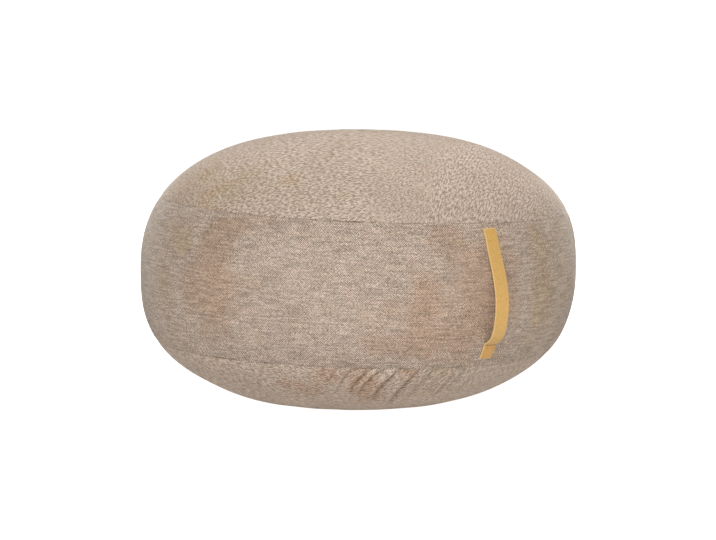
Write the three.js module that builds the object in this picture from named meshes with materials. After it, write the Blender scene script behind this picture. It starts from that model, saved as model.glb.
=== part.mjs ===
// A round floor pouf: a filled cushion of herringbone cloth with a leather handle.
// Millimetres, +Z up. The origin is the middle of the base, on the floor. The front faces -Y.
import * as THREE from "three";

// Driving sizes.
const RADIUS = 300; // at the widest ring of the wall
const HEIGHT = 372; // to the middle of the crown
const WIDEST_HEIGHT = 182; // where the wall stands out most
const WIDEST_LEAN = 9; // how much higher the wall is widest on the right, and lower on the left
const FOOT_RADIUS = 84; // the flat round that lies on the floor
const CLOTH = 2; // thickness of the top and base panels
const GAP = 0.3; // clearance between two pieces that touch

// Fullness of the filled shape: 2 is an ellipse, more is squarer.
const CROWN = { across: 2.6, up: 2.54 };
const BELLY = { across: 1.75, up: 2.5 };

// The two sewn seams run round the wall, a little lower on the right.
const UPPER_SEAM = { height: 274, drop: 11 };
const LOWER_SEAM = { height: 79.5, drop: 8 };
const SEAM_GROOVE = { depth: 2.4, reach: 8 };

// Creases of the slack base panel below the seam, at the front. Each starts at the seam, at
// "side" degrees to the right of the front, and runs down and to the left, "reach" of the way
// to the foot.
const CREASES = [
  { side: -7, depth: 1.6, reach: 0.4 },
  { side: 0, depth: 3.2, reach: 0.5 },
  { side: 3.5, depth: 3.6, reach: 0.55 },
  { side: 7, depth: 3.8, reach: 0.6 },
  { side: 12.25, depth: 4.4, reach: 0.75 },
  { side: 17.5, depth: 4.6, reach: 0.85 },
  { side: 22.75, depth: 2.4, reach: 0.9 },
  { side: 31.5, depth: 2.8, reach: 0.8 },
];
const CREASE_WIDTH = 1.3; // degrees from the middle of a crease to its shoulder
const CREASE_FULLNESS = 0.5; // lower keeps a crease deeper towards its ends
const PULL = { turn: 6.5, side: 9, width: 24 }; // degrees that the base panel is pulled round
// Soft waves elsewhere in the base panel: two sets added up, the second slower and lower.
const RIPPLE = { height: 1.1, waves: 11, slowWaves: 7, slowHeight: 0.8, slowStart: 50 };

// The handle, a leather strip sewn on at both ends. "gap" is how far its back stands off the wall.
const STRAP = { side: 37.2, width: 20, thickness: 2.8 };
const STRAP_PATH = [
  { height: 260, gap: GAP },
  { height: 252, gap: GAP },
  { height: 244, gap: GAP },
  { height: 236, gap: 0.4 },
  { height: 226, gap: 1.6 },
  { height: 214, gap: 4.4 },
  { height: 200, gap: 7.8 },
  { height: 186, gap: 10.8 },
  { height: 172, gap: 12.8 },
  { height: 158, gap: 13.6 },
  { height: 144, gap: 13.2 },
  { height: 131, gap: 11.2 },
  { height: 120, gap: 7.6 },
  { height: 111, gap: 3.2 },
  { height: 105, gap: 0.8 },
  { height: 99, gap: GAP },
  { height: 91, gap: GAP },
  { height: 84, gap: GAP },
];

const rad = THREE.MathUtils.degToRad;

// Steps round the pouf, in degrees from the front: close together where the creases are.
const FINE = { from: -10.5, step: 1.75, count: 26 };
const COARSE_COUNT = 60;
const fineEnd = FINE.from + FINE.step * FINE.count;
const coarseStep = (360 - FINE.step * FINE.count) / COARSE_COUNT;
const STATIONS = [
  ...Array.from({ length: FINE.count }, (_, i) => FINE.from + i * FINE.step),
  ...Array.from({ length: COARSE_COUNT }, (_, i) => fineEnd + i * coarseStep),
].map((side) => (side > 180 ? side - 360 : side));

// Steps down or up a surface, as shares of the way from its seam.
const CROWN_RINGS = [0, 0.012, 0.035, 0.07, 0.13, 0.22, 0.34, 0.48, 0.63, 0.78, 0.9];
const BELLY_RINGS = [0, 0.02, 0.06, 0.13, 0.23, 0.35, 0.48, 0.62, 0.76, 0.89, 1];
const WALL_RINGS = [0, 0.02, 0.055, 0.11, 0.2, 0.32, 0.44, 0.56, 0.68, 0.8, 0.89, 0.945, 0.98, 1];
const FOOT_RINGS = [0.55]; // shares of the foot's radius, inside its edge
const CROWN_LENGTH = 290; // from the upper seam to the middle, along the cloth
const BELLY_LENGTH = 215; // from the lower seam to the foot
const WALL_LENGTH = 205; // from seam to seam

const widestHeight = (side) => WIDEST_HEIGHT + WIDEST_LEAN * Math.sin(rad(side));
const seamHeight = (seam, side) => seam.height - seam.drop * Math.sin(rad(side));

// A point of the upper half's outline, and the way that it faces, at a turn from the widest ring
// (0) to the middle of the crown (90 degrees).
function crownOutline(side, turn) {
  const rise = HEIGHT - widestHeight(side);
  const out = Math.cos(turn) ** (2 / CROWN.across);
  const up = Math.sin(turn) ** (2 / CROWN.up);
  return {
    r: RADIUS * out,
    z: widestHeight(side) + rise * up,
    facing: new THREE.Vector2(
      (CROWN.across / RADIUS) * out ** (CROWN.across - 1),
      (CROWN.up / rise) * up ** (CROWN.up - 1),
    ).normalize(),
  };
}

// The same for the lower half, from the widest ring (0) to the edge of the foot (90 degrees).
function bellyOutline(side, turn) {
  const fall = widestHeight(side);
  const width = RADIUS - FOOT_RADIUS;
  const out = Math.max(Math.cos(turn), 0) ** (2 / BELLY.across);
  const down = Math.sin(turn) ** (2 / BELLY.up);
  return {
    r: FOOT_RADIUS + width * out,
    z: fall * (1 - down),
    facing: new THREE.Vector2(
      (BELLY.across / width) * out ** (BELLY.across - 1),
      (-BELLY.up / fall) * down ** (BELLY.up - 1),
    ).normalize(),
  };
}

// The turn at which each half's outline passes a height.
const crownTurn = (side, z) =>
  Math.asin(((z - widestHeight(side)) / (HEIGHT - widestHeight(side))) ** (CROWN.up / 2));
const bellyTurn = (side, z) => Math.asin((1 - z / widestHeight(side)) ** (BELLY.up / 2));

const bump = (distance, reach) => Math.exp(-((distance / reach) ** 2));
const groove = (distance) => -SEAM_GROOVE.depth * bump(distance, SEAM_GROOVE.reach);

// The point at an outline's place, moved along its facing, at "side" degrees to the right of
// the front.
function placed({ r, z, facing }, side, outward) {
  const reach = r + facing.x * outward;
  return new THREE.Vector3(
    reach * Math.sin(rad(side)),
    -reach * Math.cos(rad(side)),
    z + facing.y * outward,
  );
}

// Crown: share 0 is the upper seam, 1 the middle. "depth" is how far it lies under the cloth's face.
function crownPoint(side, share, depth) {
  const start = crownTurn(side, seamHeight(UPPER_SEAM, side));
  const turn = start + (Math.PI / 2 - start) * share;
  return placed(crownOutline(side, turn), side, groove(share * CROWN_LENGTH) - depth);
}

// How far the creases and ripples move the base panel's face.
function baseRelief(side, share) {
  const atFront = bump(side - PULL.side, PULL.width);
  const quick = RIPPLE.height * Math.sin(rad(RIPPLE.waves * side));
  const slow = RIPPLE.slowHeight * Math.sin(rad(RIPPLE.slowWaves * side + RIPPLE.slowStart));
  const ripple = (1 - atFront) * Math.sin(Math.PI * share) * (quick + slow);
  return CREASES.reduce((sum, crease) => {
    const along = Math.sin(Math.PI * Math.min(share / crease.reach, 1)) ** CREASE_FULLNESS;
    return sum - crease.depth * bump(side - crease.side, CREASE_WIDTH) * along;
  }, ripple);
}

// Belly: share 0 is the lower seam, 1 the edge of the foot. The panel is pulled round at the front.
function bellyPoint(side, share, depth) {
  const turned = side - PULL.turn * bump(side - PULL.side, PULL.width) * share;
  const start = bellyTurn(turned, seamHeight(LOWER_SEAM, turned));
  const turn = start + (Math.PI / 2 - start) * share;
  const relief = groove(share * BELLY_LENGTH) + baseRelief(side, share);
  return placed(bellyOutline(turned, turn), turned, relief - depth);
}

// Foot: the flat round inside the belly's edge.
function footPoint(side, share, depth) {
  const edge = bellyPoint(side, 1, 0);
  return new THREE.Vector3(edge.x * share, edge.y * share, depth);
}

// Wall: share 0 is the lower seam, 1 the upper.
function wallPoint(side, share, depth) {
  const low = seamHeight(LOWER_SEAM, side);
  const z = low + (seamHeight(UPPER_SEAM, side) - low) * share;
  const outline =
    z > widestHeight(side)
      ? crownOutline(side, crownTurn(side, z))
      : bellyOutline(side, bellyTurn(side, z));
  const grooves = groove(share * WALL_LENGTH) + groove((1 - share) * WALL_LENGTH);
  return placed(outline, side, grooves - depth);
}

// One closed skin from a first middle point through rings of points to a last middle point. Each
// four-cornered face is halved from its wider ring, so that skins laid on each other match.
function skin(first, rings, last) {
  const count = STATIONS.length;
  const points = [first, ...rings.flat(), last];
  const faces = [];
  const at = (ring, i) => 1 + ring * count + (i % count);
  const width = (ring, i) => Math.hypot(points[at(ring, i)].x, points[at(ring, i)].y);
  for (let i = 0; i < count; i++) {
    faces.push(0, at(0, i + 1), at(0, i));
    for (let ring = 0; ring + 1 < rings.length; ring++) {
      const [a, b, c, d] = [at(ring, i), at(ring, i + 1), at(ring + 1, i + 1), at(ring + 1, i)];
      if (width(ring, i) > width(ring + 1, i)) faces.push(a, b, c, a, c, d);
      else faces.push(a, b, d, b, c, d);
    }
    faces.push(at(rings.length - 1, i), at(rings.length - 1, i + 1), points.length - 1);
  }
  return new THREE.BufferGeometry().setFromPoints(points).setIndex(faces);
}

const ring = (place, share, depth) => STATIONS.map((side) => place(side, share, depth));
const rings = (place, shares, depth) => shares.map((share) => ring(place, share, depth));
const middle = (z) => new THREE.Vector3(0, 0, z);

// The filled cushion. Its wall is the cloth of the side band, and its crown and belly lie just
// under the top and base panels.
function cushion() {
  const depth = CLOTH + GAP;
  return skin(
    middle(depth),
    [
      ...rings(footPoint, FOOT_RINGS, depth),
      ...rings(bellyPoint, BELLY_RINGS.toReversed(), depth),
      ...rings(wallPoint, WALL_RINGS, 0),
      ...rings(crownPoint, CROWN_RINGS, depth),
    ],
    middle(HEIGHT - depth),
  );
}

// A panel begins a little past the seam, clear of the band.
const pastSeam = (shares, length) => [GAP / length, ...shares.slice(1)];

function topPanel() {
  const shares = pastSeam(CROWN_RINGS, CROWN_LENGTH);
  return skin(
    middle(HEIGHT - CLOTH),
    [
      ...rings(crownPoint, shares.toReversed(), CLOTH),
      ...rings(crownPoint, shares, 0),
    ],
    middle(HEIGHT),
  );
}

function basePanel() {
  const shares = pastSeam(BELLY_RINGS, BELLY_LENGTH);
  return skin(
    middle(0),
    [
      ...rings(footPoint, FOOT_RINGS, 0),
      ...rings(bellyPoint, shares.toReversed(), 0),
      ...rings(bellyPoint, shares, CLOTH),
      ...rings(footPoint, FOOT_RINGS, CLOTH),
    ],
    middle(CLOTH),
  );
}

// The handle: a flat strip whose back follows the path over the wall.
function strap() {
  const low = seamHeight(LOWER_SEAM, STRAP.side);
  const span = seamHeight(UPPER_SEAM, STRAP.side) - low;
  const back = STRAP_PATH.map(({ height, gap }) =>
    wallPoint(STRAP.side, (height - low) / span, -gap),
  );
  const across = new THREE.Vector3(Math.cos(rad(STRAP.side)), Math.sin(rad(STRAP.side)), 0);
  const points = back.flatMap((point, i) => {
    const before = back[Math.max(i - 1, 0)];
    const after = back[Math.min(i + 1, back.length - 1)];
    const outward = after.clone().sub(before).cross(across).normalize();
    const corner = (side, lift) =>
      point
        .clone()
        .addScaledVector(across, (side * STRAP.width) / 2)
        .addScaledVector(outward, lift * STRAP.thickness);
    return [corner(-1, 0), corner(1, 0), corner(1, 1), corner(-1, 1)];
  });
  const faces = [0, 2, 1, 0, 3, 2];
  for (let i = 0; i + 1 < back.length; i++) {
    for (let side = 0; side < 4; side++) {
      const a = 4 * i + side;
      const b = 4 * i + ((side + 1) % 4);
      faces.push(a, b, a + 4, b, b + 4, a + 4);
    }
  }
  const end = 4 * (back.length - 1);
  faces.push(end, end + 1, end + 2, end, end + 2, end + 3);
  return new THREE.BufferGeometry().setFromPoints(points).setIndex(faces);
}

function piece(name, geometry, color, roughness) {
  geometry.computeVertexNormals();
  const mesh = new THREE.Mesh(
    geometry,
    new THREE.MeshStandardMaterial({ color, roughness, metalness: 0 }),
  );
  mesh.name = name;
  return mesh;
}

const pouf = new THREE.Group();
pouf.add(
  piece("filled_cushion", cushion(), 0xbcaa97, 0.95),
  piece("top_panel", topPanel(), 0xc8b9a6, 0.95),
  piece("base_panel", basePanel(), 0xa8937e, 0.95),
  piece("handle_strap", strap(), 0xc79a55, 0.6),
);

export default pouf;
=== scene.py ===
"""A round floor pouf of herringbone cloth with a leather handle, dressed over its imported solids.

Metres, +Z up, the middle of the base on the floor, the front facing -Y. A "side" is an angle in
radians, counted from the front towards +X.
"""
import math
from collections import Counter

import bpy
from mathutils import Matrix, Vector, kdtree, noise


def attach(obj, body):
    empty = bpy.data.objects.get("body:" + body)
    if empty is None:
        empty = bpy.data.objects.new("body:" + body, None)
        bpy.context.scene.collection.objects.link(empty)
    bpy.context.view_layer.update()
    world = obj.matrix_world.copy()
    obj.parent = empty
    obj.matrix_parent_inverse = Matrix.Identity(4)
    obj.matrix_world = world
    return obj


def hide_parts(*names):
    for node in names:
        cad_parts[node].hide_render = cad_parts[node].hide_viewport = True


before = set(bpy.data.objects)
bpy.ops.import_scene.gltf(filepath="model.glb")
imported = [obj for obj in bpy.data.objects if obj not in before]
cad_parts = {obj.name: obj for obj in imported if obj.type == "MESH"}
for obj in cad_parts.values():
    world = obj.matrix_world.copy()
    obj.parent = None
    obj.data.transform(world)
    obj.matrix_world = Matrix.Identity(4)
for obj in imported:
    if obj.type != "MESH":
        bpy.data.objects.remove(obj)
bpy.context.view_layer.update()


# The camera stands in front and a little above, as in the photograph.
VIEW_DISTANCE = 4.966
VIEW_ELEVATION = math.radians(6)
VIEW_AIM = Vector((0, 0, 0.181))
LENS_MM = 181.0
SENSOR_MM = 36.0

bpy.ops.object.select_all(action="DESELECT")
back = Vector((0, -math.cos(VIEW_ELEVATION), math.sin(VIEW_ELEVATION)))
bpy.ops.object.camera_add(
    location=VIEW_AIM + back * VIEW_DISTANCE,
    rotation=(math.pi / 2 - VIEW_ELEVATION, 0, 0),
)
camera = bpy.context.object
camera.name = "front_camera"
camera.data.lens = LENS_MM
camera.data.sensor_width = SENSOR_MM
bpy.context.scene.camera = camera


# The studio: a pale floor that glows a little, so that the shadow on it stays light, a pale sky,
# one wide soft lamp overhead and one in front.
FLOOR_SIZE = 80
FLOOR_GLOW = 0.40
FLOOR_GLOW_SEEN = 0.95
FLOOR_COLOUR = (0.55, 0.55, 0.55, 1)
SKY_STRENGTH = 0.13

bpy.ops.mesh.primitive_plane_add(size=FLOOR_SIZE, location=(0, 0, 0))
floor = bpy.context.object
floor.name = "studio_floor"
floor_paint = bpy.data.materials.new("studio_floor_paint")
floor_paint.use_nodes = True
floor_shader = floor_paint.node_tree.nodes["Principled BSDF"]
floor_shader.inputs["Base Color"].default_value = FLOOR_COLOUR
floor_shader.inputs["Roughness"].default_value = 1.0
floor_shader.inputs["Specular IOR Level"].default_value = 0.0
floor_shader.inputs["Emission Color"].default_value = (1, 1, 1, 1)
seen = floor_paint.node_tree.nodes.new("ShaderNodeLightPath")
glow = floor_paint.node_tree.nodes.new("ShaderNodeMapRange")
glow.inputs["To Min"].default_value = FLOOR_GLOW
glow.inputs["To Max"].default_value = FLOOR_GLOW_SEEN
floor_paint.node_tree.links.new(seen.outputs["Is Camera Ray"], glow.inputs["Value"])
floor_paint.node_tree.links.new(glow.outputs[0], floor_shader.inputs["Emission Strength"])
floor.data.materials.append(floor_paint)

sky = bpy.data.worlds.new("studio_sky")
sky.use_nodes = True
sky.node_tree.nodes["Background"].inputs["Color"].default_value = (1.0, 1.0, 1.0, 1)
sky.node_tree.nodes["Background"].inputs["Strength"].default_value = SKY_STRENGTH
bpy.context.scene.world = sky
bpy.context.scene.view_settings.view_transform = "Standard"


def soft_lamp(name, place, size, power):
    """A square lamp that points at the pouf."""
    bpy.ops.object.light_add(type="AREA", location=place)
    lamp = bpy.context.object
    lamp.name = name
    lamp.data.shape = "SQUARE"
    lamp.data.size = size
    lamp.data.energy = power
    lamp.rotation_euler = (VIEW_AIM - Vector(place)).to_track_quat("-Z", "Y").to_euler()


soft_lamp("overhead_lamp", place=(0.3, 1.9, 2.9), size=2.4, power=114)
soft_lamp("front_lamp", place=(-0.05, -3.8, 2.3), size=1.2, power=122)


# The side band and the filling that it holds: one long strip of herringbone cloth, bent round
# the crumb filling and sewn to a round of cloth above and below. The filling swells out between
# the two seams, a little higher on the right.
RADIUS = 0.300
HEIGHT = 0.372
WIDEST_HEIGHT = 0.182
WIDEST_LEAN = 0.009
FOOT_RADIUS = 0.084
CROWN = {"across": 2.6, "up": 2.54}
BELLY = {"across": 1.75, "up": 2.5}
# A seam's height at the front, its drop to the right, where its noise starts, and the middle and
# the half width, in degrees, of the stretch where its cloth is folded tightest.
UPPER_SEAM = {"height": 0.274, "drop": 0.011, "phase": 5.555, "tight_side": -8, "tight_width": 16}
LOWER_SEAM = {"height": 0.0795, "drop": 0.008, "phase": 0.0, "tight_side": -25, "tight_width": 40}
CROWN_LENGTH = 0.290
BELLY_LENGTH = 0.215
WALL_LENGTH = 0.205
CLOTH = 0.002
GAP = 0.0003
SEAM_GROOVE = {"depth": 0.0006, "reach": 0.006}
SEAM_FOLD = {"depth": 0.0006, "reach": 0.0011, "flatter": 0.7, "usual": 0.35, "least": 0.05,
             "most": 1.2, "waves": ((1.9, 0.024), (1.3, 0.009))}  # strength and width of each
PUCKER = {"depth": 0.0007, "every": 0.013, "reach": 0.011}
SWELL = {"depth": 0.0011, "width": 0.085}
SETTLED = [  # side in degrees, height, half width in degrees, half height, how far out
    (95, 0.325, 50, 0.035, -0.0045), (85, 0.080, 45, 0.040, 0.0030),
]
STATIONS = 540
CLOSE_STATIONS = {"side": math.radians(12), "share": 0.45}
WALL_RINGS = 56
DRAWN_TOGETHER = 1.5  # how much closer the rings of the mesh come at a seam; 1 is not at all


def widest_height(side):
    return WIDEST_HEIGHT + WIDEST_LEAN * math.sin(side)


def seam_height(seam, side):
    return seam["height"] - seam["drop"] * math.sin(side)


def crown_outline(side, turn):
    """Radius, height and facing of the upper half, from the widest ring to the middle."""
    rise = HEIGHT - widest_height(side)
    out = max(math.cos(turn), 0) ** (2 / CROWN["across"])
    up = math.sin(turn) ** (2 / CROWN["up"])
    facing = Vector((CROWN["across"] / RADIUS * out ** (CROWN["across"] - 1),
                     CROWN["up"] / rise * up ** (CROWN["up"] - 1)))
    return RADIUS * out, widest_height(side) + rise * up, facing.normalized()


def belly_outline(side, turn):
    """The same for the lower half, down to the edge of the foot."""
    fall, width = widest_height(side), RADIUS - FOOT_RADIUS
    out = max(math.cos(turn), 0) ** (2 / BELLY["across"])
    down = math.sin(turn) ** (2 / BELLY["up"])
    facing = Vector((BELLY["across"] / width * out ** (BELLY["across"] - 1),
                     -BELLY["up"] / fall * down ** (BELLY["up"] - 1)))
    return FOOT_RADIUS + width * out, fall * (1 - down), facing.normalized()


def crown_turn(side, height):
    share = (height - widest_height(side)) / (HEIGHT - widest_height(side))
    return math.asin(share ** (CROWN["up"] / 2))


def belly_turn(side, height):
    return math.asin((1 - height / widest_height(side)) ** (BELLY["up"] / 2))


def bump(distance, reach):
    return math.exp(-((distance / reach) ** 2))


def placed(outline, side, outward):
    radius, height, facing = outline
    reach = radius + facing.x * outward
    return Vector((reach * math.sin(side), -reach * math.cos(side), height + facing.y * outward))


def uneven(side, height, width):
    """A slow, even noise over the pouf, from -1 to 1."""
    place = Vector((math.sin(side), -math.cos(side), height / RADIUS)) * RADIUS / width
    return noise.noise(place)


def settled(side, height):
    """How far the filling has settled in, or bulges out, from an even shape."""
    total = 0
    for at_side, at_height, half_width, half_height, out in SETTLED:
        off = (math.degrees(side) - at_side + 180) % 360 - 180
        total += out * bump(off, half_width) * bump(height - at_height, half_height)
    return total


def seam_fold(side, distance, seam):
    """How tightly the cloth turns in at a distance from a seam: the seam opens and closes, and
    lies flatter away from its tightest side."""
    place = side + seam["phase"]
    tightness = SEAM_FOLD["usual"]
    for strength, width in SEAM_FOLD["waves"]:
        tightness += strength * uneven(place, 0, width)
    tightest = bump(math.degrees(side) - seam["tight_side"], seam["tight_width"])
    tightness *= 1 - SEAM_FOLD["flatter"] * (1 - tightest)
    tightness = min(max(tightness, SEAM_FOLD["least"]), SEAM_FOLD["most"])
    return tightness * bump(distance, SEAM_FOLD["reach"])


def seam_relief(side, distance, seam):
    """How far the cloth's face lies off the full shape, at a distance from a seam."""
    groove = SEAM_GROOVE["depth"] * bump(distance, SEAM_GROOVE["reach"])
    pucker = PUCKER["depth"] * math.exp(-distance / PUCKER["reach"])
    fold = SEAM_FOLD["depth"] * seam_fold(side, distance, seam)
    return pucker * uneven(side + seam["phase"], 0, PUCKER["every"]) - groove - fold


def wall_point(side, share, lift=0.0):
    """Share 0 is the lower seam, 1 the upper."""
    low = seam_height(LOWER_SEAM, side)
    height = low + (seam_height(UPPER_SEAM, side) - low) * share
    if height > widest_height(side):
        outline = crown_outline(side, crown_turn(side, height))
    else:
        outline = belly_outline(side, belly_turn(side, height))
    below, above = share * WALL_LENGTH, (1 - share) * WALL_LENGTH
    relief = seam_relief(side, below, LOWER_SEAM) + seam_relief(side, above, UPPER_SEAM)
    swell = SWELL["depth"] * uneven(side, height, SWELL["width"]) * math.sin(math.pi * share)
    return placed(outline, side, lift + relief + swell + settled(side, height))


def from_seam(share):
    """Draws rings together towards the seam at share 0, where the cloth turns in sharply."""
    return share ** DRAWN_TOGETHER


def from_both_seams(share):
    return from_seam(2 * share) / 2 if share < 0.5 else 1 - from_seam(2 - 2 * share) / 2


def side_of(point):
    return math.atan2(point.x, -point.y)


def flat_place(side, radius):
    return Vector((radius * math.sin(side), -radius * math.cos(side), 0))


def station_side(turn):
    """Where a mesh station stands: they come closer together at the front, by the creases."""
    near, share = CLOSE_STATIONS["side"], CLOSE_STATIONS["share"]
    return turn - share * (math.sin(turn - near) + math.sin(near))


def patch_tint(place, patches):
    offs = [(math.hypot((place.x - u) / half_width, (place.y - v) / half_height), strength)
            for u, v, half_width, half_height, strength in patches]
    return sum(strength * bump(off, 1) for off, strength in offs)


def mark_cloth(cloth, patches, folds):
    """Keeps each point's place on the flat cloth as its weave, dyes soft patches into it, some of
    them painted shade, and marks how tightly it is folded at each point, which sets the painted
    shade in its folds."""
    for layer in list(cloth.data.uv_layers):
        cloth.data.uv_layers.remove(layer)
    weave = cloth.data.uv_layers.new(name="weave")
    for loop in cloth.data.loops:
        weave.data[loop.index].uv = cloth.data.vertices[loop.vertex_index].co.xy
    tint = cloth.data.attributes.new("tint", "FLOAT", "POINT")
    fold = cloth.data.attributes.new("fold", "FLOAT", "POINT")
    for vertex, tightness in zip(cloth.data.vertices, folds):
        tint.data[vertex.index].value = patch_tint(vertex.co, patches)
        fold.data[vertex.index].value = tightness


# Where the band is pinker (above 0) or more olive (below 0): place along and up the flat strip,
# half width, half height and strength. Most are the cloth's own uneven colour. Two are painted
# shade: the pink patch just left of the handle is the handle's painted shadow, and the olive patch
# at 0.290 darkens the band's right side.
BAND_PATCHES = [
    (-0.214, 0.000, 0.046, 0.060, 1.1), (-0.222, 0.066, 0.032, 0.030, 0.8),
    (-0.174, 0.088, 0.040, 0.018, 0.4), (-0.262, 0.003, 0.022, 0.030, 0.4),
    (0.085, -0.008, 0.018, 0.055, 0.5), (0.044, -0.012, 0.022, 0.020, 0.35),
    (0.038, -0.068, 0.042, 0.024, 0.6), (0.113, -0.060, 0.032, 0.040, 0.45),
    (0.130, 0.010, 0.050, 0.095, 0.40), (0.112, 0.077, 0.020, 0.020, 0.3),
    # The second patch on this line, at 0.290, is painted shade that darkens the band's right side.
    (0.215, 0.010, 0.034, 0.090, 0.65), (0.290, 0.015, 0.038, 0.100, -0.7),
    # Painted shadow of the handle, on the band just to its left.
    (0.165, 0.005, 0.028, 0.080, 0.8),
    (-0.265, 0.055, 0.028, 0.026, -1.0), (-0.300, 0.020, 0.045, 0.120, -0.35),
    (0.36, 0.010, 0.050, 0.140, -0.4), (-0.62, 0.02, 0.070, 0.070, 0.7),
    (0.62, -0.03, 0.065, 0.080, 0.7), (0.82, 0.03, 0.080, 0.060, -0.7),
    (-0.84, -0.04, 0.060, 0.040, 0.6),
]

# The strip is cut flat, and then bent round.
bpy.ops.object.select_all(action="DESELECT")
bpy.ops.mesh.primitive_grid_add(x_subdivisions=STATIONS, y_subdivisions=WALL_RINGS, size=1)
band = bpy.context.object
band.name = "side_band"
for vertex in band.data.vertices:
    vertex.co.x = station_side(vertex.co.x * 2 * math.pi) * RADIUS
    vertex.co.y = (from_both_seams(vertex.co.y + 0.5) - 0.5) * WALL_LENGTH
mark_cloth(band, BAND_PATCHES, [
    seam_fold(vertex.co.x / RADIUS, WALL_LENGTH / 2 - abs(vertex.co.y),
              UPPER_SEAM if vertex.co.y > 0 else LOWER_SEAM)
    for vertex in band.data.vertices])
for vertex in band.data.vertices:
    vertex.co = wall_point(vertex.co.x / RADIUS, vertex.co.y / WALL_LENGTH + 0.5)


# The weave of every cloth piece, as a group: yarns that cross over and under each other, in
# slanting rows that turn back at each column, uneven yarns, thick slubs that run along the cloth,
# and slow clouds of lighter and darker yarn. A noise is given as its grains for each metre.
YARN = 0.00146
CROSSING = 1.1
WOBBLE = {"grains": 45.0, "up": 0.005, "along": 0.004}
GRAIN = {"along": 430, "across": 640, "share": 0.32}
SLUB = {"along": 30, "across": 400, "detail": 3}
CLOUD_GRAINS = 13.0


def feed(tree, socket, value):
    if isinstance(value, bpy.types.NodeSocket):
        tree.links.new(value, socket)
    elif value is not None:
        socket.default_value = value


def node(tree, kind, *values, out=0, **settings):
    made = tree.nodes.new("ShaderNode" + kind)
    for name, setting in settings.items():
        setattr(made, name, setting)
    for socket, value in zip(made.inputs, values):
        feed(tree, socket, value)
    return made.outputs[out]


def maths(tree, operation, *values):
    return node(tree, "Math", *values, operation=operation)


def mixed(tree, share, first, second, blend="MIX"):
    """Two colours blended; the sockets for colours are known only by their numbers."""
    made = tree.nodes.new("ShaderNodeMix")
    made.data_type = "RGBA"
    made.blend_type = blend
    for place, value in zip((0, 6, 7), (share, first, second)):
        feed(tree, made.inputs[place], value)
    return made.outputs[2]


def even_noise(tree, place, grains, detail):
    """Noise of a number of grains for each metre, with finer ones in it by its detail."""
    return node(tree, "TexNoise", place, None, grains, detail)


def stretched_noise(tree, place, along, across, detail=1.0):
    """Noise whose grains are 1/along metres long and 1/across metres wide."""
    scaled = node(tree, "VectorMath", place, (along, across, 1.0), operation="MULTIPLY")
    return node(tree, "TexNoise", scaled, None, 1.0, detail, noise_dimensions="2D")


def sharpened(tree, value, low, high, to_low=0.0, to_high=1.0):
    return node(tree, "MapRange", value, low, high, to_low, to_high,
                interpolation_type="SMOOTHSTEP")


herringbone = bpy.data.node_groups.new("herringbone weave", "ShaderNodeTree")
for name, kind, way in (("Place", "Vector", "INPUT"), ("Column", "Float", "INPUT"),
                        ("Row", "Float", "INPUT"), ("Row Contrast", "Float", "INPUT"),
                        ("Yarn Contrast", "Float", "INPUT"), ("Shade", "Float", "OUTPUT"),
                        ("Slub", "Float", "OUTPUT"), ("Cloud", "Float", "OUTPUT")):
    herringbone.interface.new_socket(name, in_out=way, socket_type="NodeSocket" + kind)
given = herringbone.nodes.new("NodeGroupInput").outputs
wobble = maths(herringbone, "SUBTRACT",
               even_noise(herringbone, given["Place"], WOBBLE["grains"], detail=2.0), 0.5)
split = herringbone.nodes.new("ShaderNodeSeparateXYZ")
feed(herringbone, split.inputs[0], given["Place"])
wavy = maths(herringbone, "MULTIPLY_ADD", wobble, WOBBLE["up"], split.outputs[1])
sideways = maths(herringbone, "MULTIPLY_ADD", wobble, WOBBLE["along"], split.outputs[0])
slant = maths(herringbone, "PINGPONG", split.outputs[0], given["Column"])
column = maths(herringbone, "FLOOR", maths(herringbone, "DIVIDE", split.outputs[0],
                                           given["Column"]))
rows = maths(herringbone, "MULTIPLY_ADD", column, 0.5,
             maths(herringbone, "DIVIDE", maths(herringbone, "ADD", slant, wavy), given["Row"]))
row_shade = maths(herringbone, "SINE", maths(herringbone, "MULTIPLY", rows, 2 * math.pi))
over_under = [maths(herringbone, "SINE", maths(herringbone, "MULTIPLY", way, math.pi / YARN))
              for way in (sideways, wavy)]
crossing = maths(herringbone, "MULTIPLY", *over_under)
yarn_cell = node(herringbone, "VectorMath", given["Place"], (YARN, YARN, YARN), operation="SNAP")
yarn_shade = maths(herringbone, "SUBTRACT", node(herringbone, "TexWhiteNoise", yarn_cell,
                                                 noise_dimensions="2D"), 0.5)
yarns = maths(herringbone, "MULTIPLY_ADD", crossing, CROSSING, yarn_shade)
grain = sharpened(herringbone, stretched_noise(herringbone, given["Place"], GRAIN["along"],
                                               GRAIN["across"]), low=0.34, high=0.66)
shade = maths(herringbone, "MULTIPLY_ADD", row_shade, given["Row Contrast"],
              maths(herringbone, "MULTIPLY_ADD", grain, GRAIN["share"],
                    (1 - GRAIN["share"]) / 2))
shade = maths(herringbone, "MULTIPLY_ADD", yarns, given["Yarn Contrast"], shade)
slub = sharpened(herringbone, stretched_noise(herringbone, given["Place"], **SLUB),
                 low=0.36, high=0.64, to_low=-1, to_high=1)
cloud = even_noise(herringbone, given["Place"], CLOUD_GRAINS, detail=3.0)
taken = herringbone.nodes.new("NodeGroupOutput")
for name, value in (("Shade", shade), ("Slub", slub), ("Cloud", cloud)):
    feed(herringbone, taken.inputs[name], value)

DARK_YARN = (0.186, 0.118, 0.073, 1)
LIGHT_YARN = (0.738, 0.620, 0.521, 1)
# The pink and olive colours dye the cloth's patches, and also paint the band's patches of shade.
PINK_DYE_AND_SHADE = (0.930, 0.838, 0.770, 1)
OLIVE_DYE_AND_SHADE = (0.92, 0.865, 0.745, 1)
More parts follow.
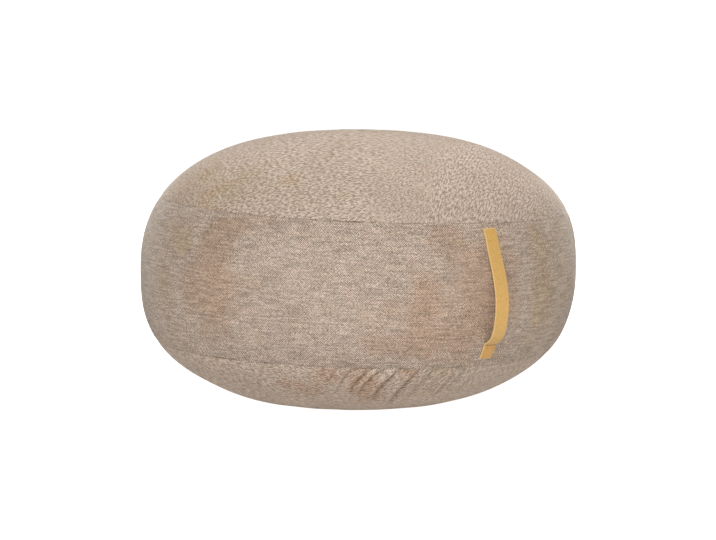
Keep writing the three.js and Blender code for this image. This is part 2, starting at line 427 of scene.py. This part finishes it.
# FOLD_SHADE is painted shade, laid into the colour where the cloth folds tightly at its seams and
# creases.
FOLD_SHADE = (0.62, 0.59, 0.56, 1)
DYE_AND_SHADE = {"grains": 17.0, "drift": 1.8, "full_at": 0.8}
FUZZ = {"weight": 0.42, "colour": (1.0, 0.92, 0.83, 1), "roughness": 0.28}
CLOTH_GLOSS = 0.04
WEAVE_RELIEF = {"strength": 0.6, "depth": 0.0004}


def cloth_material(name, column, row, rows, yarns, slubs, clouds, brightness, extra):
    """A material of the weave with its own pitch and strengths; extra adds its marks or seam."""
    material = bpy.data.materials.new(name)
    material.use_nodes = True
    tree = material.node_tree
    shader = tree.nodes["Principled BSDF"]
    place = node(tree, "UVMap", uv_map="weave")
    weave = tree.nodes.new("ShaderNodeGroup")
    weave.node_tree = herringbone
    for socket, value in (("Place", place), ("Column", column), ("Row", row),
                          ("Row Contrast", rows), ("Yarn Contrast", yarns)):
        feed(tree, weave.inputs[socket], value)
    shade = extra(tree, place, weave.outputs["Shade"])
    colour = mixed(tree, shade, DARK_YARN, LIGHT_YARN)
    light = maths(tree, "MULTIPLY_ADD", weave.outputs["Slub"], slubs,
                  maths(tree, "MULTIPLY_ADD", weave.outputs["Cloud"], clouds,
                        brightness - clouds / 2))
    colour = mixed(tree, 1.0, colour, light, "MULTIPLY")
    # The tint patches are mixed in here: dye, and on the band also painted shade beside the handle
    # and on its right side.
    tint = node(tree, "Attribute", out="Fac", attribute_name="tint")
    drift = maths(tree, "SUBTRACT", even_noise(tree, place, DYE_AND_SHADE["grains"], detail=4.0), 0.5)
    dye_and_shade = maths(tree, "MULTIPLY_ADD", drift, DYE_AND_SHADE["drift"], tint)
    colour = mixed(tree, sharpened(tree, dye_and_shade, 0.0, DYE_AND_SHADE["full_at"]), colour,
                   mixed(tree, 1.0, colour, PINK_DYE_AND_SHADE, "MULTIPLY"))
    colour = mixed(tree, sharpened(tree, dye_and_shade, 0.0, -DYE_AND_SHADE["full_at"]), colour,
                   mixed(tree, 1.0, colour, OLIVE_DYE_AND_SHADE, "MULTIPLY"))
    # Painted shade: the colour is darkened where the cloth is folded tightly, in a broken dark line
    # along each seam and along the base's creases.
    fold = node(tree, "Attribute", out="Fac", attribute_name="fold")
    colour = mixed(tree, sharpened(tree, fold, 0.0, 1.0), colour,
                   mixed(tree, 1.0, colour, FOLD_SHADE, "MULTIPLY"))
    feed(tree, shader.inputs["Base Color"], colour)
    feed(tree, shader.inputs["Roughness"], 1.0)
    feed(tree, shader.inputs["Specular IOR Level"], CLOTH_GLOSS)
    feed(tree, shader.inputs["Sheen Weight"], FUZZ["weight"])
    feed(tree, shader.inputs["Sheen Tint"], FUZZ["colour"])
    feed(tree, shader.inputs["Sheen Roughness"], FUZZ["roughness"])
    raised = tree.nodes.new("ShaderNodeBump")
    feed(tree, raised.inputs["Strength"], WEAVE_RELIEF["strength"])
    feed(tree, raised.inputs["Distance"], WEAVE_RELIEF["depth"])
    feed(tree, raised.inputs["Height"], shade)
    feed(tree, shader.inputs["Normal"], raised.outputs["Normal"])
    return material


CLOSING_SEAM = {"width": 0.0018, "shade": -0.5}


def closing_seam(tree, place, shade):
    """Darkens the weave in a thin line where the two ends of the band are sewn together, at the
    back: painted shade in the seam's gap.
    """
    split = tree.nodes.new("ShaderNodeSeparateXYZ")
    feed(tree, split.inputs[0], place)
    half_length = math.pi * RADIUS
    middle = station_side(math.pi) * RADIUS - half_length
    from_middle = maths(tree, "ABSOLUTE", maths(tree, "SUBTRACT", split.outputs[0], middle))
    at_end = sharpened(tree, from_middle, half_length - CLOSING_SEAM["width"], half_length)
    return maths(tree, "MULTIPLY_ADD", at_end, CLOSING_SEAM["shade"], shade)


band_cloth = cloth_material("band herringbone cloth", column=0.0042, row=0.0042, rows=0.20,
                            yarns=0.70, slubs=0.15, clouds=0.30, brightness=1.0,
                            extra=closing_seam)


# The top panel: a round of the same cloth, sewn to the band's upper edge and stretched over the
# crown. Seen at a slant its rows run together into short dark marks, level at the left and
# standing up towards the right.
TOP_RINGS = 56
TOP_PATCHES = [  # as the band's
    (-0.162, -0.174, 0.050, 0.040, -0.6), (-0.230, -0.110, 0.090, 0.100, -0.5),
    (-0.187, -0.187, 0.012, 0.012, 0.6), (-0.075, -0.195, 0.014, 0.025, -0.6),
    (-0.020, -0.240, 0.014, 0.010, -0.5), (0.11, 0.10, 0.06, 0.04, 0.4),
    (-0.05, 0.16, 0.05, 0.04, -0.5),
]


def crown_point(side, share):
    """Share 0 is the upper seam, 1 the middle."""
    start = crown_turn(side, seam_height(UPPER_SEAM, side))
    outline = crown_outline(side, start + (math.pi / 2 - start) * share)
    swell = SWELL["depth"] * uneven(side, outline[1], SWELL["width"]) * math.sin(math.pi * share)
    relief = seam_relief(side, share * CROWN_LENGTH, UPPER_SEAM) + settled(side, outline[1])
    return placed(outline, side, swell + relief)


def flat_round(name, radius, ring_count):
    """A round of cloth cut flat: rings of points from its edge to its middle."""
    bpy.ops.object.select_all(action="DESELECT")
    bpy.ops.mesh.primitive_circle_add(vertices=STATIONS, radius=radius, fill_type="NOTHING")
    cloth = bpy.context.object
    cloth.name = name
    bpy.ops.object.mode_set(mode="EDIT")
    bpy.ops.mesh.select_all(action="SELECT")
    share = 0
    for ring in range(1, ring_count):
        inner = from_seam(ring / ring_count)
        bpy.ops.mesh.extrude_edges_move()
        bpy.ops.transform.resize(value=((1 - inner) / (1 - share),) * 2 + (1,))
        share = inner
    bpy.ops.mesh.extrude_edges_move()
    bpy.ops.mesh.merge(type="CENTER")
    bpy.ops.object.mode_set(mode="OBJECT")
    for vertex in cloth.data.vertices:
        vertex.co = flat_place(station_side(side_of(vertex.co)), vertex.co.xy.length)
    return cloth


top_cloth = flat_round("top_panel_cloth", CROWN_LENGTH, TOP_RINGS)
mark_cloth(top_cloth, TOP_PATCHES, [
    seam_fold(side_of(vertex.co), CROWN_LENGTH - vertex.co.xy.length, UPPER_SEAM)
    for vertex in top_cloth.data.vertices])
for vertex in top_cloth.data.vertices:
    share = max(1 - vertex.co.xy.length / CROWN_LENGTH, GAP / CROWN_LENGTH)
    vertex.co = crown_point(side_of(vertex.co), share)


def short_marks(tree, place, along, across, turn=0.0):
    """Short dark and light marks, 1/along metres long and 1/across thick, turned by an angle."""
    turned = node(tree, "VectorRotate", place, None, None, turn, rotation_type="Z_AXIS")
    return sharpened(tree, stretched_noise(tree, turned, along, across, 4), low=0.37, high=0.63)


def from_left(tree, place, start, end):
    """A mask that rises from 0 to 1 over a piece, from left to right."""
    split = tree.nodes.new("ShaderNodeSeparateXYZ")
    feed(tree, split.inputs[0], place)
    return sharpened(tree, split.outputs[0], start, end)


def added_marks(tree, marks, shade, marks_share, weave_share):
    """Adds marks to a weave, evenly about the middle shade."""
    return maths(tree, "MULTIPLY_ADD", marks, marks_share,
                 maths(tree, "MULTIPLY_ADD", shade, weave_share,
                       (1 - marks_share - weave_share) / 2))


def top_marks(tree, place, shade):
    level = short_marks(tree, place, along=200, across=320, turn=math.radians(-8))
    steep = short_marks(tree, place, along=200, across=560, turn=math.radians(-66))
    upright = short_marks(tree, place, along=480, across=120)
    right = mixed(tree, from_left(tree, place, start=0.05, end=0.10), steep, upright)
    marks = mixed(tree, from_left(tree, place, start=0.0, end=0.06), level, right)
    return added_marks(tree, marks, shade, marks_share=0.46, weave_share=0.36)


# Its brightness of 1.07 is painted light: the top is the band's cloth made lighter, for the
# stronger light from above on the crown.
top_material = cloth_material("top herringbone cloth", column=0.0062, row=0.0052, rows=0.26,
                              yarns=0.60, slubs=0.03, clouds=0.3, brightness=1.07,
                              extra=top_marks)


# The base panel: a second round, drawn in under the filling to a flat foot. It is slack at the
# front, where it hangs in slanting creases that start at the seam.
CREASES = [  # side in degrees at the seam, depth in metres, reach as a share of the way down
    (-5.5, 0.0018, 0.20), (-1, 0.0032, 0.24), (4.2, 0.0042, 0.30), (7.6, 0.0046, 0.34),
    (12.9, 0.0047, 0.46), (18.6, 0.0050, 0.54), (22.6, 0.0028, 0.50), (27, 0.0018, 0.30),
    (30.4, 0.0034, 0.50), (33.0, 0.0034, 0.42), (38, 0.0020, 0.35),
]
# Sides, widths and turns here are in degrees, and a reach, a length or a "within" is a share of
# the way from the seam to the foot.
# A crease's line is the width, in degrees, of its painted shade, and darkest the depth at which
# that painted shade is full.
CREASE = {"width": 0.75, "ridge": 0.6, "ridge_off": -1.6, "ridge_width": 1.2, "line": 0.4,
          "darkest": 0.0062, "early": 0.02}
WRINKLE = {"depth": 0.0009, "width": 1.2, "length": 0.45, "sharpness": 4, "fades": 1.6}
PULL = {"turn": 10.5, "side": 7, "width": 17, "within": 0.25}
SLACK = {"side": 12, "width": 26}
RIPPLE = {"height": 0.0007, "waves": 11, "slow_height": 0.0005, "slow_waves": 7, "start": 50}
BASE_RINGS = 56
BASE_PATCHES = [  # as the band's
    (0.0, 0.0, 0.60, 0.60, -0.10), (-0.045, -0.277, 0.018, 0.020, 1.1),
    (-0.078, -0.238, 0.042, 0.026, 1.0), (0.010, -0.262, 0.028, 0.055, 1.1),
    (0.076, -0.280, 0.016, 0.024, 1.1), (-0.034, -0.244, 0.018, 0.018, -0.6),
    (0.045, -0.262, 0.014, 0.030, -0.5), (0.125, -0.240, 0.050, 0.040, -0.2),
    (-0.120, -0.255, 0.030, 0.020, -0.4), (0.18, 0.12, 0.05, 0.04, 0.6),
    (-0.16, 0.15, 0.04, 0.05, -0.6), (-0.20, -0.05, 0.04, 0.04, 0.5),
]


def along_crease(share, reach):
    """Fades a crease in from the seam, and out where it ends."""
    early = CREASE["early"]
    return math.sin(math.pi * min(max(share + early, 0) / (reach + early), 1)) ** 0.5


def base_relief(side, share):
    """How far the slack base lies off the full shape: ripples all round, fine wrinkles and
    creases at the front."""
    degrees = math.degrees(side)
    slack = bump(degrees - SLACK["side"], SLACK["width"])
    quick = RIPPLE["height"] * math.sin(RIPPLE["waves"] * side)
    slow = RIPPLE["slow_height"] * math.sin(RIPPLE["slow_waves"] * side
                                            + math.radians(RIPPLE["start"]))
    relief = (1 - slack) * math.sin(math.pi * share) * (quick + slow)
    wrinkle = noise.noise(Vector((degrees / WRINKLE["width"], share / WRINKLE["length"], 0)))
    relief -= (WRINKLE["depth"] * slack * (1 - abs(wrinkle)) ** WRINKLE["sharpness"]
               * max(1 - WRINKLE["fades"] * share, 0))
    for place, depth, reach in CREASES:
        off = degrees - place
        ridge = CREASE["ridge"] * bump(off - CREASE["ridge_off"], CREASE["ridge_width"])
        cut = math.exp(-abs(off) / CREASE["width"])
        relief += depth * along_crease(share, reach) * (ridge - cut)
    return relief


def base_fold(side, share):
    """How tightly the base panel is folded, in its seam and along its creases: the mask of its
    painted shade there.
    """
    fold = seam_fold(side, share * BELLY_LENGTH, LOWER_SEAM)
    for place, depth, reach in CREASES:
        line = math.exp(-abs(math.degrees(side) - place) / CREASE["line"])
        fold += depth / CREASE["darkest"] * along_crease(share, reach) * line
    return fold


def pulled(side, share):
    """The side that a thread from one side of the seam has reached: the front is pulled left."""
    at_front = bump(math.degrees(side) - PULL["side"], PULL["width"])
    reached = 1 - math.exp(-min(share, 1) / PULL["within"])
    return side - math.radians(PULL["turn"]) * at_front * reached


def belly_point(side, share):
    """Share 0 is the lower seam, 1 the edge of the foot."""
    relief = seam_relief(side, share * BELLY_LENGTH, LOWER_SEAM) + base_relief(side, share)
    side = pulled(side, share)
    start = belly_turn(side, seam_height(LOWER_SEAM, side))
    outline = belly_outline(side, start + (math.pi / 2 - start) * share)
    return placed(outline, side, relief + settled(side, outline[1]) * (1 - share))


base_cloth = flat_round("base_panel_cloth", BELLY_LENGTH + FOOT_RADIUS, BASE_RINGS)
base_places = []
for vertex in base_cloth.data.vertices:
    radius = vertex.co.xy.length
    base_places.append((side_of(vertex.co), (BELLY_LENGTH + FOOT_RADIUS - radius) / BELLY_LENGTH))
    vertex.co = flat_place(pulled(*base_places[-1]), radius)
mark_cloth(base_cloth, BASE_PATCHES, [base_fold(side, share) for side, share in base_places])
for vertex, (side, share) in zip(base_cloth.data.vertices, base_places):
    if share < 1:
        vertex.co = belly_point(side, max(share, GAP / BELLY_LENGTH))
    else:
        edge = belly_point(side, 1)
        vertex.co = Vector((edge.x, edge.y, 0)) * vertex.co.xy.length / FOOT_RADIUS


def base_marks(tree, place, shade):
    level = short_marks(tree, place, along=150, across=260)
    slanting = short_marks(tree, place, along=120, across=420, turn=math.radians(40))
    marks = mixed(tree, from_left(tree, place, start=-0.06, end=0.02), level, slanting)
    return added_marks(tree, marks, shade, marks_share=0.40, weave_share=0.60)


# Its brightness of 1.12 is painted light: the base is the band's cloth made lighter, lifting its
# shaded underside.
base_material = cloth_material("base herringbone cloth", column=0.0062, row=0.0056, rows=0.26,
                               yarns=0.55, slubs=0.05, clouds=0.35, brightness=1.12,
                               extra=base_marks)


# The filling presses the sewn cover out all round. The cover swells in a simulation, as one closed
# skin that is held at its stitches and where it stands on the floor, and each piece of cloth then
# takes on its swelling. Skins just under the two panels close the cushion.
SWELLING = {"pressure": 4.0, "frames": 20, "most": 0.004, "voxel": 0.007, "pass_on": 0.008,
            "neighbours": 8, "least_share": 0.001}
STITCH = {"every": 0.020, "from_seam": 0.004}
STANDING = 0.003
DOUBLES = 0.00005
SEAM_JOIN = 0.001


def only(chosen):
    """Selects one object alone and makes it the active one."""
    bpy.ops.object.select_all(action="DESELECT")
    chosen.select_set(True)
    bpy.context.view_layer.objects.active = chosen


def tidied(cloth):
    """Merges a cloth's doubles and faces it outwards."""
    only(cloth)
    bpy.ops.object.mode_set(mode="EDIT")
    bpy.ops.mesh.select_all(action="SELECT")
    bpy.ops.mesh.remove_doubles(threshold=DOUBLES)
    bpy.ops.mesh.normals_make_consistent(inside=False)
    bpy.ops.object.mode_set(mode="OBJECT")
    bpy.ops.object.shade_smooth()


for cloth, material in ((band, band_cloth), (top_cloth, top_material), (base_cloth, base_material)):
    cloth.data.materials.append(material)
    tidied(cloth)


def copied(cloth, name):
    only(cloth)
    bpy.ops.object.duplicate()
    bpy.context.object.name = name
    return bpy.context.object


def whole_cover():
    """One closed skin of the whole cover, in even squares."""
    pieces = [copied(cloth, "cover_skin") for cloth in (band, top_cloth, base_cloth)]
    only(pieces[0])
    for piece in pieces[1:]:
        piece.select_set(True)
    bpy.ops.object.join()
    cover = bpy.context.object
    bpy.ops.object.mode_set(mode="EDIT")
    bpy.ops.mesh.select_all(action="SELECT")
    bpy.ops.mesh.remove_doubles(threshold=SEAM_JOIN)
    bpy.ops.object.mode_set(mode="OBJECT")
    cover.data.remesh_voxel_size = SWELLING["voxel"]
    bpy.ops.object.voxel_remesh()
    return cover


def is_stitched(point):
    side = side_of(point)
    from_seam = min(abs(point.z - seam_height(seam, side)) for seam in (UPPER_SEAM, LOWER_SEAM))
    at_stitch = (side * RADIUS / STITCH["every"]) % 1 < 0.5
    return point.z < STANDING or (from_seam < STITCH["from_seam"] and at_stitch)


def swollen(cover):
    """Where the cover's points lie once the filling has pressed it out."""
    stitched = cover.vertex_groups.new(name="stitched")
    stitched.add([v.index for v in cover.data.vertices if is_stitched(v.co)], 1.0, "REPLACE")
    pressing = cover.modifiers.new("pressing", "CLOTH")
    pressing.settings.use_pressure = True
    pressing.settings.uniform_pressure_force = SWELLING["pressure"]
    pressing.settings.effector_weights.gravity = 0
    pressing.settings.vertex_group_mass = stitched.name
    pressing.collision_settings.use_collision = False
    for step in range(1, SWELLING["frames"] + 1):
        bpy.context.scene.frame_set(step)
    depsgraph = bpy.context.evaluated_depsgraph_get()
    return [vertex.co.copy() for vertex in cover.evaluated_get(depsgraph).data.vertices]


swelling_places = kdtree.KDTree(0)
swelling = []
swelling_places.balance()
cover = whole_cover()
facings = [vertex.normal.copy() for vertex in cover.data.vertices]
pressed_out = [facing.dot(after - vertex.co) for vertex, facing, after
               in zip(cover.data.vertices, facings, swollen(cover))]
usual = sum(pressed_out) / len(pressed_out)
swelling_places = kdtree.KDTree(len(facings))
for vertex, facing, out in zip(cover.data.vertices, facings, pressed_out):
    swelling_places.insert(vertex.co, vertex.index)
    swelling.append(facing * min(max(out - usual, -SWELLING["most"]), SWELLING["most"]))
swelling_places.balance()
bpy.data.objects.remove(cover)
bpy.context.scene.frame_set(1)


def swelling_at(point):
    """How far the cloth at a point is moved by the filling, as its nearest neighbours are."""
    near = [(bump(distance, SWELLING["pass_on"]), swelling[index])
            for place, index, distance in swelling_places.find_n(point, SWELLING["neighbours"])]
    total = sum((share * move for share, move in near), Vector())
    return total / max(sum(share for share, move in near), SWELLING["least_share"])


for cloth in (band, top_cloth, base_cloth):
    for vertex in cloth.data.vertices:
        vertex.co += swelling_at(vertex.co)
        vertex.co.z = max(vertex.co.z, 0)


def close_under(panel, cushion):
    """Joins a copy of a panel to the cushion, drawn in under the panel all but its rim."""
    skin = copied(panel, "filling_skin")
    faces_at = Counter(edge for face in skin.data.polygons for edge in face.edge_keys)
    rim = {i for edge, faces in faces_at.items() if faces == 1 for i in edge}
    inward = [-(CLOTH + GAP) * vertex.normal for vertex in skin.data.vertices]
    for vertex in skin.data.vertices:
        if vertex.index not in rim:
            vertex.co += inward[vertex.index]
    only(cushion)
    skin.select_set(True)
    bpy.ops.object.join()
    bpy.ops.object.mode_set(mode="EDIT")
    bpy.ops.mesh.select_mode(type="EDGE")
    bpy.ops.mesh.select_all(action="DESELECT")
    bpy.ops.mesh.select_non_manifold(use_wire=False, use_multi_face=False,
                                     use_non_contiguous=False, use_verts=False)
    bpy.ops.mesh.remove_doubles(threshold=SEAM_JOIN)
    bpy.ops.mesh.select_mode(type="VERT")
    bpy.ops.object.mode_set(mode="OBJECT")


close_under(top_cloth, band)
close_under(base_cloth, band)
tidied(band)
for panel in (top_cloth, base_cloth):
    only(panel)
    thickness = panel.modifiers.new("thickness", "SOLIDIFY")
    thickness.thickness = CLOTH
    thickness.offset = -1
    bpy.ops.object.modifier_apply(modifier=thickness.name)

for cloth, solid in ((band, "filled_cushion"), (top_cloth, "top_panel"),
                     (base_cloth, "base_panel")):
    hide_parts(solid)
    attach(cloth, "root")


# The handle: a strip of mustard tan leather, cut raw at its edges. Both ends are sewn flat to
# the band, and the free length between them bows out, with a tight fold over the lower end.
STRAP_SIDE = math.radians(37.0)
STRAP_LEAN = {"turn": math.radians(7.0), "height": 0.17}  # turn for each metre below a height
STRAP_TWIST = math.radians(8)
STRAP_WIDTH = 0.020
STRAP_THICKNESS = 0.0022
STRAP_ACROSS, STRAP_ALONG = 10, 110
STRAP_PATH = [  # height and how far its back stands off the wall
    (0.260, GAP), (0.252, GAP), (0.244, GAP), (0.236, 0.0004), (0.226, 0.0016), (0.214, 0.0044),
    (0.200, 0.0078), (0.186, 0.0108), (0.172, 0.0128), (0.158, 0.0136), (0.144, 0.0132),
    (0.131, 0.0124), (0.1225, 0.0106), (0.1165, 0.0078), (0.1122, 0.0040), (0.1090, 0.0012),
    (0.1060, GAP), (0.102, GAP), (0.095, GAP), (0.088, GAP),
]
STRAP_EASE = 25  # its facing is taken over this many steps of its back each way
EDGE_ROUNDING = {"width": 0.0005, "segments": 2, "over": math.radians(50)}


def between(before, first, second, after, share):
    """A smooth curve from the first value to the second."""
    rise, turn = (second - before) / 2, (after - first) / 2
    return (first + rise * share
            + (3 * (second - first) - 2 * rise - turn) * share ** 2
            + (2 * (first - second) + rise + turn) * share ** 3)


def path_at(place):
    """The strap's back, at a place counted in steps of its path."""
    step = min(int(place), len(STRAP_PATH) - 2)
    around = [STRAP_PATH[min(max(step + i, 0), len(STRAP_PATH) - 1)] for i in (-1, 0, 1, 2)]
    height, gap = (between(*(point[i] for point in around), place - step) for i in (0, 1))
    side = STRAP_SIDE + STRAP_LEAN["turn"] * (STRAP_LEAN["height"] - height)
    low = seam_height(LOWER_SEAM, side)
    span = seam_height(UPPER_SEAM, side) - low
    point = wall_point(side, (height - low) / span, max(gap, GAP))
    return point + swelling_at(point)


STRAP_STEP = 0.02
STRAP_FOLD = 15.6  # where the tight fold lies, in steps of the path
backs = [path_at(i * STRAP_STEP) for i in range(int((len(STRAP_PATH) - 1) / STRAP_STEP) + 1)]
lengths = [0.0]
for first, second in zip(backs, backs[1:]):
    lengths.append(lengths[-1] + (second - first).length)
STRAP_LENGTH = lengths[-1]
FOLD_AT = lengths[int(STRAP_FOLD / STRAP_STEP)]


def strap_point(across, along, lift):
    """A point over the strap's back: metres from its middle line and from its upper end. The
    free length twists a little to the front."""
    facing = STRAP_SIDE - STRAP_TWIST * math.sin(math.pi * along / STRAP_LENGTH) ** 2
    strap_across = Vector((math.cos(facing), math.sin(facing), 0))
    index = min(max(sum(length < along for length in lengths), 1), len(backs) - 1)
    first, second = backs[index - 1], backs[index]
    share = (along - lengths[index - 1]) / (lengths[index] - lengths[index - 1])
    wide = backs[max(index - STRAP_EASE, 0)], backs[min(index + STRAP_EASE, len(backs) - 1)]
    outward = (wide[1] - wide[0]).cross(strap_across).normalized()
    return first.lerp(second, share) + strap_across * across + outward * lift


bpy.ops.object.select_all(action="DESELECT")
bpy.ops.mesh.primitive_grid_add(x_subdivisions=STRAP_ACROSS, y_subdivisions=STRAP_ALONG, size=1)
strap = bpy.context.object
strap.name = "leather_handle"
for vertex in strap.data.vertices:
    vertex.co.x *= STRAP_WIDTH
    vertex.co.y = (0.5 - vertex.co.y) * STRAP_LENGTH
strap.data.uv_layers[0].name = "hide"
for loop in strap.data.loops:
    strap.data.uv_layers[0].data[loop.index].uv = strap.data.vertices[loop.vertex_index].co.xy
for vertex in strap.data.vertices:
    vertex.co = strap_point(vertex.co.x, vertex.co.y, 0)
tidied(strap)
outward = strap_point(0, STRAP_LENGTH / 2, 1) - strap_point(0, STRAP_LENGTH / 2, 0)
if strap.data.polygons[len(strap.data.polygons) // 2].normal.dot(outward) < 0:
    strap.data.flip_normals()
only(strap)
thickness = strap.modifiers.new("thickness", "SOLIDIFY")
thickness.thickness = STRAP_THICKNESS
thickness.offset = 1
bpy.ops.object.modifier_apply(modifier=thickness.name)
rounding = strap.modifiers.new("rounding", "BEVEL")
rounding.width = EDGE_ROUNDING["width"]
rounding.segments = EDGE_ROUNDING["segments"]
rounding.angle_limit = EDGE_ROUNDING["over"]
bpy.ops.object.modifier_apply(modifier=rounding.name)

# The leather is a little browner over its two ends, pale at its raw edges, and dark in the fold,
# where a thin line of painted shade lies across it.
LEATHER = {"middle": (0.660, 0.395, 0.125, 1), "lower end": (0.640, 0.355, 0.112, 1),
           "upper end": (0.670, 0.400, 0.118, 1), "fold": (0.330, 0.180, 0.060, 1),
           "raw edge": (0.80, 0.58, 0.27, 1)}
LEATHER_REACH = {  # where each starts and is full: metres from its end, the fold or the middle
    "lower end": (0.030, 0.018), "upper end": (0.040, 0.010), "fold": (0.0016, 0.0004),
    "raw end": (0.0020, 0.0004), "raw side": (0.0088, 0.0098),
}
RAW_EDGE_SHARE = 0.7
HIDE = {"clouds": 260.0, "pores": 900.0, "gloss": 0.35, "strength": 0.35, "depth": 0.0003}

leather = bpy.data.materials.new("mustard tan leather")
leather.use_nodes = True
tree = leather.node_tree
shader = tree.nodes["Principled BSDF"]
hide = node(tree, "UVMap", uv_map="hide")
split = tree.nodes.new("ShaderNodeSeparateXYZ")
feed(tree, split.inputs[0], hide)
at_lower_end = sharpened(tree, split.outputs[1],
                         *(STRAP_LENGTH - far for far in LEATHER_REACH["lower end"]))
colour = mixed(tree, at_lower_end, LEATHER["middle"], LEATHER["lower end"])
at_upper_end = sharpened(tree, split.outputs[1], *LEATHER_REACH["upper end"])
colour = mixed(tree, at_upper_end, colour, LEATHER["upper end"])
# Painted shade: a thin dark line across the strap where it folds back under itself.
from_fold = maths(tree, "ABSOLUTE", maths(tree, "SUBTRACT", split.outputs[1], FOLD_AT))
in_fold_shade = sharpened(tree, from_fold, *LEATHER_REACH["fold"])
colour = mixed(tree, in_fold_shade, colour, LEATHER["fold"])
cloudy = even_noise(tree, hide, HIDE["clouds"], detail=3.0)
clouds = sharpened(tree, cloudy, low=0.3, high=0.7, to_low=0.93, to_high=1.05)
colour = mixed(tree, 1.0, colour, clouds, "MULTIPLY")
to_side = sharpened(tree, maths(tree, "ABSOLUTE", split.outputs[0]),
                    *LEATHER_REACH["raw side"])
from_middle = maths(tree, "ABSOLUTE", maths(tree, "SUBTRACT", split.outputs[1], STRAP_LENGTH / 2))
to_end = sharpened(tree, from_middle,
                   *(STRAP_LENGTH / 2 - far for far in LEATHER_REACH["raw end"]))
raw_edge = maths(tree, "MULTIPLY", maths(tree, "MAXIMUM", to_side, to_end), RAW_EDGE_SHARE)
colour = mixed(tree, raw_edge, colour, LEATHER["raw edge"])
feed(tree, shader.inputs["Base Color"], colour)
pores = even_noise(tree, hide, HIDE["pores"], detail=2.0)
feed(tree, shader.inputs["Roughness"],
     sharpened(tree, pores, low=0.3, high=0.7, to_low=0.46, to_high=0.62))
feed(tree, shader.inputs["Specular IOR Level"], HIDE["gloss"])
raised = tree.nodes.new("ShaderNodeBump")
feed(tree, raised.inputs["Strength"], HIDE["strength"])
feed(tree, raised.inputs["Distance"], HIDE["depth"])
feed(tree, raised.inputs["Height"], pores)
feed(tree, shader.inputs["Normal"], raised.outputs["Normal"])
strap.data.materials.append(leather)

# Thread of the same colour sews each end down in a small box of stitches.
THREAD = 0.0007
STITCH_LENGTH, STITCH_PITCH = 0.0027, 0.0034
SEWN_BOX = {"half_width": 0.0068, "length": 0.0136, "from_end": 0.0034}
THREAD_TWIST = 2400.0
THREAD_COLOURS = (0.50, 0.285, 0.085, 1), (0.68, 0.42, 0.15, 1)
THREAD_ROUGHNESS = 0.75

thread = bpy.data.materials.new("mustard sewing thread")
thread.use_nodes = True
tree = thread.node_tree
shader = tree.nodes["Principled BSDF"]
twist = even_noise(tree, node(tree, "TexCoord", out="Object"), THREAD_TWIST, detail=2.0)
feed(tree, shader.inputs["Base Color"],
     mixed(tree, sharpened(tree, twist, low=0.3, high=0.7), *THREAD_COLOURS))
feed(tree, shader.inputs["Roughness"], THREAD_ROUGHNESS)


def sewn_box(start):
    """Where the stitches of one box lie: across, along, and whether each runs along."""
    count = round(SEWN_BOX["length"] / STITCH_PITCH)
    for step in range(count):
        run = (step + 0.5) * STITCH_PITCH
        for edge in (-SEWN_BOX["half_width"], SEWN_BOX["half_width"]):
            yield edge, start + run, True
        for edge in (0, SEWN_BOX["length"]):
            yield run - SEWN_BOX["half_width"], start + edge, False


bpy.ops.object.select_all(action="DESELECT")
bpy.ops.mesh.primitive_uv_sphere_add(segments=10, ring_count=6, radius=0.5)
stitch = bpy.context.object
stitch.data.uv_layers[0].name = "hide"
stitch.data.materials.append(thread)
bpy.ops.object.shade_smooth()
tail = STRAP_LENGTH - SEWN_BOX["from_end"] - SEWN_BOX["length"]
stitches = []
for start in (SEWN_BOX["from_end"], tail):
    for across, along, runs_along in sewn_box(start):
        sewn = copied(stitch, "handle_stitch")
        for vertex in sewn.data.vertices:
            wide, long = vertex.co.x * THREAD, vertex.co.y * STITCH_LENGTH
            high = STRAP_THICKNESS + vertex.co.z * THREAD
            if not runs_along:
                wide, long = long, wide
            vertex.co = strap_point(across + wide, along + long, high)
        stitches.append(sewn)
bpy.data.objects.remove(stitch)
only(strap)
for sewn in stitches:
    sewn.select_set(True)
bpy.ops.object.join()
tidied(strap)
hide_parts("handle_strap")
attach(strap, "root")
